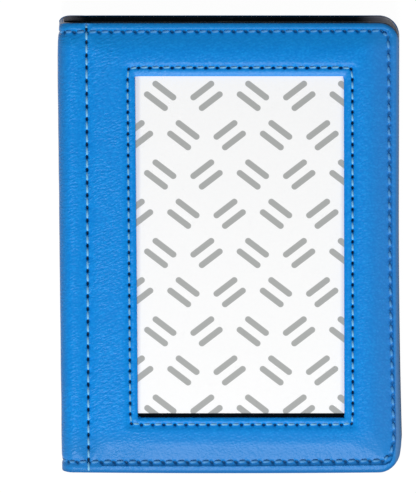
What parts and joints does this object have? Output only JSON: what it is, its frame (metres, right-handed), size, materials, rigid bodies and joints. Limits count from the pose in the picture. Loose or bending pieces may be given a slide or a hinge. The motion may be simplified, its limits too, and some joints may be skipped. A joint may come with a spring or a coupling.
{
  "type": "travel document cover",
  "caption": "Padded leather folder that closes round a passport, with a stitched window recess in the front, folding spine and inner pockets.",
  "frame": {"origin": "middle of the closed cover's box, on the surface that its back rests on", "axes": "+X from the spine to the fore edge, +Y to the head, +Z out through the front cover; the cover lies closed on its back"},
  "size_m": [0.104, 0.141, 0.0125],
  "materials": {
    "sky_blue_leather": "fine pebble grain, semi-matt, with black painted cut edges",
    "white_foam": "thin white sewing foam, hidden",
    "black_board": "black bookbinding board",
    "clear_adhesive": "tacky double-sided adhesive pad, hidden under its liner",
    "white_liner_paper": null,
    "black_lining": "black woven lining cloth",
    "black_pocket_leather": "thin black split leather",
    "pale_blue_thread": "twisted polyester sewing thread"
  },
  "bodies": {
    "back_cover": {"back_leather": "sky_blue_leather", "back_padding": "white_foam", "back_board": "black_board", "back_lining": "black_lining", "back_pocket": "black_pocket_leather", "back_edge_thread": "pale_blue_thread", "back_hinge_thread": "pale_blue_thread"},
    "spine": {"spine_leather": "sky_blue_leather", "spine_lining": "black_lining", "spine_head_thread": "pale_blue_thread", "spine_tail_thread": "pale_blue_thread"},
    "front_cover": {"front_leather": "sky_blue_leather", "front_padding": "white_foam", "front_board": "black_board", "adhesive_pad": "clear_adhesive", "release_liner": "white_liner_paper", "front_lining": "black_lining", "front_pocket": "black_pocket_leather", "front_edge_thread": "pale_blue_thread", "front_hinge_thread": "pale_blue_thread", "window_thread": "pale_blue_thread"}
  },
  "joints": [
    {"name": "spine_fold", "type": "hinge", "parent": "back_cover", "child": "spine", "pos_m": [-0.05103, 0, 0.00097], "axis": [0, -1, 0], "range_deg": [0, 90]},
    {"name": "cover_fold", "type": "hinge", "parent": "spine", "child": "front_cover", "pos_m": [-0.05103, 0, 0.01153], "axis": [0, -1, 0], "range_deg": [0, 90]}
  ]
}
